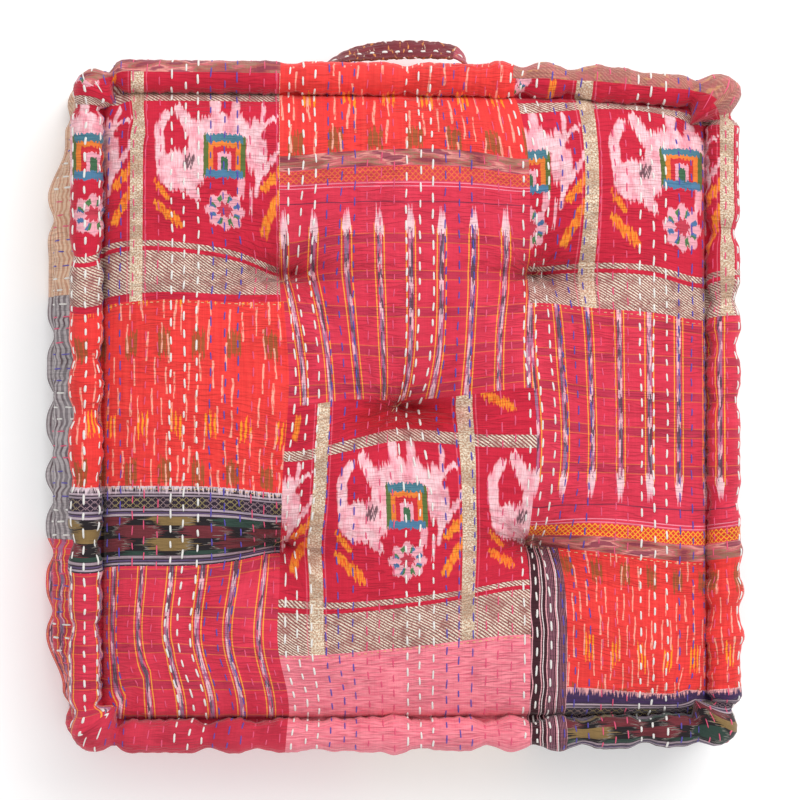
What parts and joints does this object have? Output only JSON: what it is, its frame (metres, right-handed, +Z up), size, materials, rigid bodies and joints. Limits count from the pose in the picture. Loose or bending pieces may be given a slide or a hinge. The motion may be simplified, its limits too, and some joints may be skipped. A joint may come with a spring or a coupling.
{
  "type": "patchwork floor cushion with carrying strap",
  "caption": "Square patchwork floor cushion with rolled, hand-stitched edges, a tufted face and a cloth carrying strap on one side.",
  "frame": {"origin": "centre of the footprint, strap included, on the surface that the cushion lies on", "axes": "+Z up out of the patchwork face, +Y towards the side with the carrying strap, +X to the right when the strap is at the far side"},
  "size_m": [0.6022, 0.6136, 0.116],
  "materials": {
    "patchwork": "printed and ikat-dyed cotton patchwork with running stitches",
    "strap": "dark maroon woven cotton, folded and top-stitched",
    "thread": "cotton thread"
  },
  "bodies": {
    "root": {"cushion": "patchwork", "carry_strap": "strap"}
  },
  "joints": []
}
